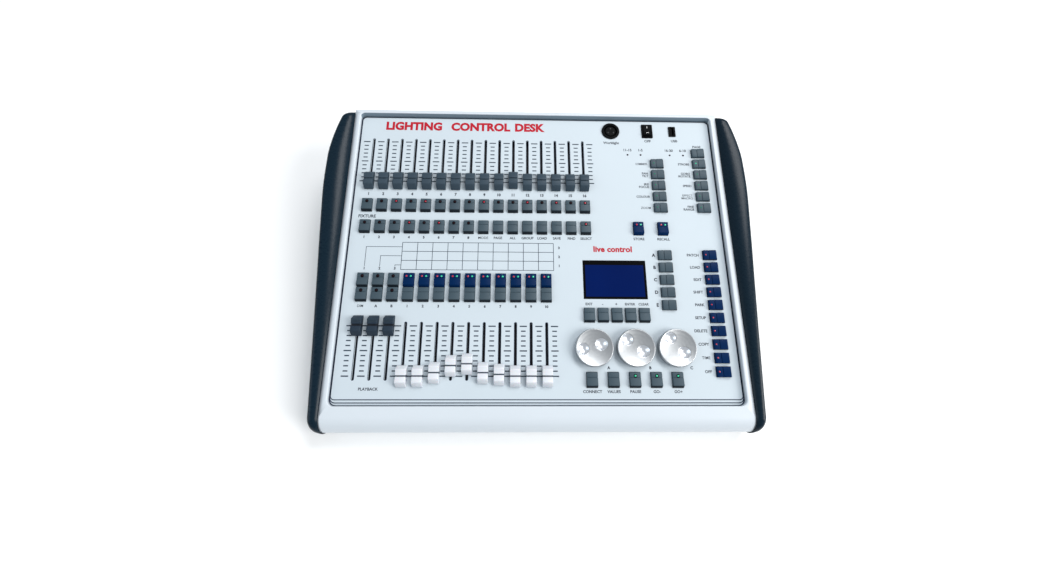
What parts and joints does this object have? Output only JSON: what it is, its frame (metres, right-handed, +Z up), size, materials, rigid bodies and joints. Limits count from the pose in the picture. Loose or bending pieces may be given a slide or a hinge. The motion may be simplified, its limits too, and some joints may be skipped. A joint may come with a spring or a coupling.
{
  "type": "lighting control desk",
  "caption": "Low sloping lighting control desk with faders, keypads, jog wheels and a display in a recessed panel between dark curved end cheeks.",
  "frame": {"origin": "middle of the whole width and depth, on the plane of the feet's undersides", "axes": "+X to the right of a person working at the desk, +Y towards its rear, +Z up"},
  "size_m": [0.5638, 0.4214, 0.1038],
  "materials": {
    "white_paint": "satin white-grey powder coat",
    "panel_paint": "printed pale blue-grey overlay",
    "cheek_plastic": "dark blue-grey semi-gloss moulding",
    "key_plastic": "satin slate grey and dark blue keys",
    "cap_grey": "satin slate grey",
    "cap_dark": "satin dark slate",
    "cap_white": "satin white",
    "turned_aluminium": "turned and polished",
    "black_plastic": "satin black",
    "display_glass": "clear gloss over a blue display",
    "circuit_board": "green solder mask",
    "galvanised_sheet": "plain zinc coat",
    "foot_rubber": "matt black"
  },
  "bodies": {
    "console": {"top_cover": "white_paint", "control_panel": "panel_paint", "base_tray": "white_paint", "cheek_left": "cheek_plastic", "cheek_right": "cheek_plastic", "display_window": "display_glass", "display_module": "galvanised_sheet", "main_board": "circuit_board", "fader_bank_upper": "circuit_board", "fader_bank_lower": "circuit_board", "wheel_board": "circuit_board", "power_supply": "galvanised_sheet", "mains_inlet": "black_plastic", "dmx_output_plate": "black_plastic", "worklight_socket": "black_plastic", "usb_socket": "black_plastic", "rocker_housing": "black_plastic", "foot_front_left": "foot_rubber", "foot_front_right": "foot_rubber", "foot_back_left": "foot_rubber", "foot_back_right": "foot_rubber"},
    "fixture_fader_01": {"fixture_fader_01": "cap_grey"},
    "fixture_fader_02": {"fixture_fader_02": "cap_grey"},
    "fixture_fader_03": {"fixture_fader_03": "cap_grey"},
    "fixture_fader_04": {"fixture_fader_04": "cap_grey"},
    "fixture_fader_05": {"fixture_fader_05": "cap_grey"},
    "fixture_fader_06": {"fixture_fader_06": "cap_grey"},
    "fixture_fader_07": {"fixture_fader_07": "cap_grey"},
    "fixture_fader_08": {"fixture_fader_08": "cap_grey"},
    "fixture_fader_09": {"fixture_fader_09": "cap_grey"},
    "fixture_fader_10": {"fixture_fader_10": "cap_grey"},
    "fixture_fader_11": {"fixture_fader_11": "cap_grey"},
    "fixture_fader_12": {"fixture_fader_12": "cap_grey"},
    "fixture_fader_13": {"fixture_fader_13": "cap_grey"},
    "fixture_fader_14": {"fixture_fader_14": "cap_grey"},
    "fixture_fader_15": {"fixture_fader_15": "cap_grey"},
    "fixture_fader_16": {"fixture_fader_16": "cap_grey"},
    "master_fader_1": {"master_fader_1": "cap_dark"},
    "master_fader_2": {"master_fader_2": "cap_dark"},
    "master_fader_3": {"master_fader_3": "cap_dark"},
    "playback_fader_01": {"playback_fader_01": "cap_white"},
    "playback_fader_02": {"playback_fader_02": "cap_white"},
    "playback_fader_03": {"playback_fader_03": "cap_white"},
    "playback_fader_04": {"playback_fader_04": "cap_white"},
    "playback_fader_05": {"playback_fader_05": "cap_white"},
    "playback_fader_06": {"playback_fader_06": "cap_white"},
    "playback_fader_07": {"playback_fader_07": "cap_white"},
    "playback_fader_08": {"playback_fader_08": "cap_white"},
    "playback_fader_09": {"playback_fader_09": "cap_white"},
    "playback_fader_10": {"playback_fader_10": "cap_white"},
    "jog_wheel_1": {"jog_wheel_1": "turned_aluminium"},
    "jog_wheel_2": {"jog_wheel_2": "turned_aluminium"},
    "jog_wheel_3": {"jog_wheel_3": "turned_aluminium"},
    "rocker_switch": {"rocker_switch": "black_plastic"},
    "fixture_keypad": {"fixture_keypad": "key_plastic"},
    "playback_keypad": {"playback_keypad": "key_plastic"},
    "display_keypad": {"display_keypad": "key_plastic"},
    "function_keypad": {"function_keypad": "key_plastic"},
    "bank_keypad": {"bank_keypad": "key_plastic"},
    "transport_keypad": {"transport_keypad": "key_plastic"}
  },
  "joints": [
    {"name": "fixture_fader_01_slide", "type": "slide", "parent": "console", "child": "fixture_fader_01", "axis": [0, 0.9903, 0.1392], "range_m": [0, 0.0595]},
    {"name": "fixture_fader_02_slide", "type": "slide", "parent": "console", "child": "fixture_fader_02", "axis": [0, 0.9903, 0.1392], "range_m": [0, 0.0595]},
    {"name": "fixture_fader_03_slide", "type": "slide", "parent": "console", "child": "fixture_fader_03", "axis": [0, 0.9903, 0.1392], "range_m": [0, 0.0595]},
    {"name": "fixture_fader_04_slide", "type": "slide", "parent": "console", "child": "fixture_fader_04", "axis": [0, 0.9903, 0.1392], "range_m": [0, 0.0595]},
    {"name": "fixture_fader_05_slide", "type": "slide", "parent": "console", "child": "fixture_fader_05", "axis": [0, 0.9903, 0.1392], "range_m": [0, 0.0595]},
    {"name": "fixture_fader_06_slide", "type": "slide", "parent": "console", "child": "fixture_fader_06", "axis": [0, 0.9903, 0.1392], "range_m": [0, 0.0595]},
    {"name": "fixture_fader_07_slide", "type": "slide", "parent": "console", "child": "fixture_fader_07", "axis": [0, 0.9903, 0.1392], "range_m": [0, 0.0595]},
    {"name": "fixture_fader_08_slide", "type": "slide", "parent": "console", "child": "fixture_fader_08", "axis": [0, 0.9903, 0.1392], "range_m": [0, 0.0595]},
    {"name": "fixture_fader_09_slide", "type": "slide", "parent": "console", "child": "fixture_fader_09", "axis": [0, 0.9903, 0.1392], "range_m": [0, 0.0595]},
    {"name": "fixture_fader_10_slide", "type": "slide", "parent": "console", "child": "fixture_fader_10", "axis": [0, 0.9903, 0.1392], "range_m": [0, 0.0595]},
    {"name": "fixture_fader_11_slide", "type": "slide", "parent": "console", "child": "fixture_fader_11", "axis": [0, 0.9903, 0.1392], "range_m": [-0.0025, 0.057]},
    {"name": "fixture_fader_12_slide", "type": "slide", "parent": "console", "child": "fixture_fader_12", "axis": [0, 0.9903, 0.1392], "range_m": [0, 0.0595]},
    {"name": "fixture_fader_13_slide", "type": "slide", "parent": "console", "child": "fixture_fader_13", "axis": [0, 0.9903, 0.1392], "range_m": [0, 0.0595]},
    {"name": "fixture_fader_14_slide", "type": "slide", "parent": "console", "child": "fixture_fader_14", "axis": [0, 0.9903, 0.1392], "range_m": [0, 0.0595]},
    {"name": "fixture_fader_15_slide", "type": "slide", "parent": "console", "child": "fixture_fader_15", "axis": [0, 0.9903, 0.1392], "range_m": [0, 0.0595]},
    {"name": "fixture_fader_16_slide", "type": "slide", "parent": "console", "child": "fixture_fader_16", "axis": [0, 0.9903, 0.1392], "range_m": [0, 0.0595]},
    {"name": "master_fader_1_slide", "type": "slide", "parent": "console", "child": "master_fader_1", "axis": [0, 0.9903, 0.1392], "range_m": [-0.0595, 0]},
    {"name": "master_fader_2_slide", "type": "slide", "parent": "console", "child": "master_fader_2", "axis": [0, 0.9903, 0.1392], "range_m": [-0.0595, 0]},
    {"name": "master_fader_3_slide", "type": "slide", "parent": "console", "child": "master_fader_3", "axis": [0, 0.9903, 0.1392], "range_m": [-0.0595, 0]},
    {"name": "playback_fader_01_slide", "type": "slide", "parent": "console", "child": "playback_fader_01", "axis": [0, 0.9903, 0.1392], "range_m": [0, 0.0595]},
    {"name": "playback_fader_02_slide", "type": "slide", "parent": "console", "child": "playback_fader_02", "axis": [0, 0.9903, 0.1392], "range_m": [0, 0.0595]},
    {"name": "playback_fader_03_slide", "type": "slide", "parent": "console", "child": "playback_fader_03", "axis": [0, 0.9903, 0.1392], "range_m": [-0.0039, 0.0556]},
    {"name": "playback_fader_04_slide", "type": "slide", "parent": "console", "child": "playback_fader_04", "axis": [0, 0.9903, 0.1392], "range_m": [-0.012, 0.0475]},
    {"name": "playback_fader_05_slide", "type": "slide", "parent": "console", "child": "playback_fader_05", "axis": [0, 0.9903, 0.1392], "range_m": [-0.0141, 0.0454]},
    {"name": "playback_fader_06_slide", "type": "slide", "parent": "console", "child": "playback_fader_06", "axis": [0, 0.9903, 0.1392], "range_m": [-0.0039, 0.0556]},
    {"name": "playback_fader_07_slide", "type": "slide", "parent": "console", "child": "playback_fader_07", "axis": [0, 0.9903, 0.1392], "range_m": [-0.0019, 0.0576]},
    {"name": "playback_fader_08_slide", "type": "slide", "parent": "console", "child": "playback_fader_08", "axis": [0, 0.9903, 0.1392], "range_m": [0, 0.0595]},
    {"name": "playback_fader_09_slide", "type": "slide", "parent": "console", "child": "playback_fader_09", "axis": [0, 0.9903, 0.1392], "range_m": [0, 0.0595]},
    {"name": "playback_fader_10_slide", "type": "slide", "parent": "console", "child": "playback_fader_10", "axis": [0, 0.9903, 0.1392], "range_m": [0, 0.0595]},
    {"name": "jog_wheel_1_spin", "type": "hinge", "parent": "console", "child": "jog_wheel_1", "pos_m": [0.0663, -0.1147, 0.05219], "axis": [0, -0.1392, 0.9903], "continuous": true},
    {"name": "jog_wheel_2_spin", "type": "hinge", "parent": "console", "child": "jog_wheel_2", "pos_m": [0.1164, -0.1147, 0.05219], "axis": [0, -0.1392, 0.9903], "continuous": true},
    {"name": "jog_wheel_3_spin", "type": "hinge", "parent": "console", "child": "jog_wheel_3", "pos_m": [0.1664, -0.1147, 0.05219], "axis": [0, -0.1392, 0.9903], "continuous": true},
    {"name": "rocker_switch_tilt", "type": "hinge", "parent": "console", "child": "rocker_switch", "pos_m": [0.1542, 0.18451, 0.09323], "axis": [1, 0, 0], "range_deg": [0, 14]},
    {"name": "fixture_keypad_press", "type": "slide", "parent": "console", "child": "fixture_keypad", "axis": [0, 0.1392, -0.9903], "range_m": [0, 0.0012], "stiffness_N_per_m": 1500, "springref_m": -0.001},
    {"name": "playback_keypad_press", "type": "slide", "parent": "console", "child": "playback_keypad", "axis": [0, 0.1392, -0.9903], "range_m": [0, 0.0012], "stiffness_N_per_m": 1500, "springref_m": -0.001},
    {"name": "display_keypad_press", "type": "slide", "parent": "console", "child": "display_keypad", "axis": [0, 0.1392, -0.9903], "range_m": [0, 0.0012], "stiffness_N_per_m": 1500, "springref_m": -0.001},
    {"name": "function_keypad_press", "type": "slide", "parent": "console", "child": "function_keypad", "axis": [0, 0.1392, -0.9903], "range_m": [0, 0.0012], "stiffness_N_per_m": 1500, "springref_m": -0.001},
    {"name": "bank_keypad_press", "type": "slide", "parent": "console", "child": "bank_keypad", "axis": [0, 0.1392, -0.9903], "range_m": [0, 0.0012], "stiffness_N_per_m": 1500, "springref_m": -0.001},
    {"name": "transport_keypad_press", "type": "slide", "parent": "console", "child": "transport_keypad", "axis": [0, 0.1392, -0.9903], "range_m": [0, 0.0012], "stiffness_N_per_m": 1500, "springref_m": -0.001}
  ]
}
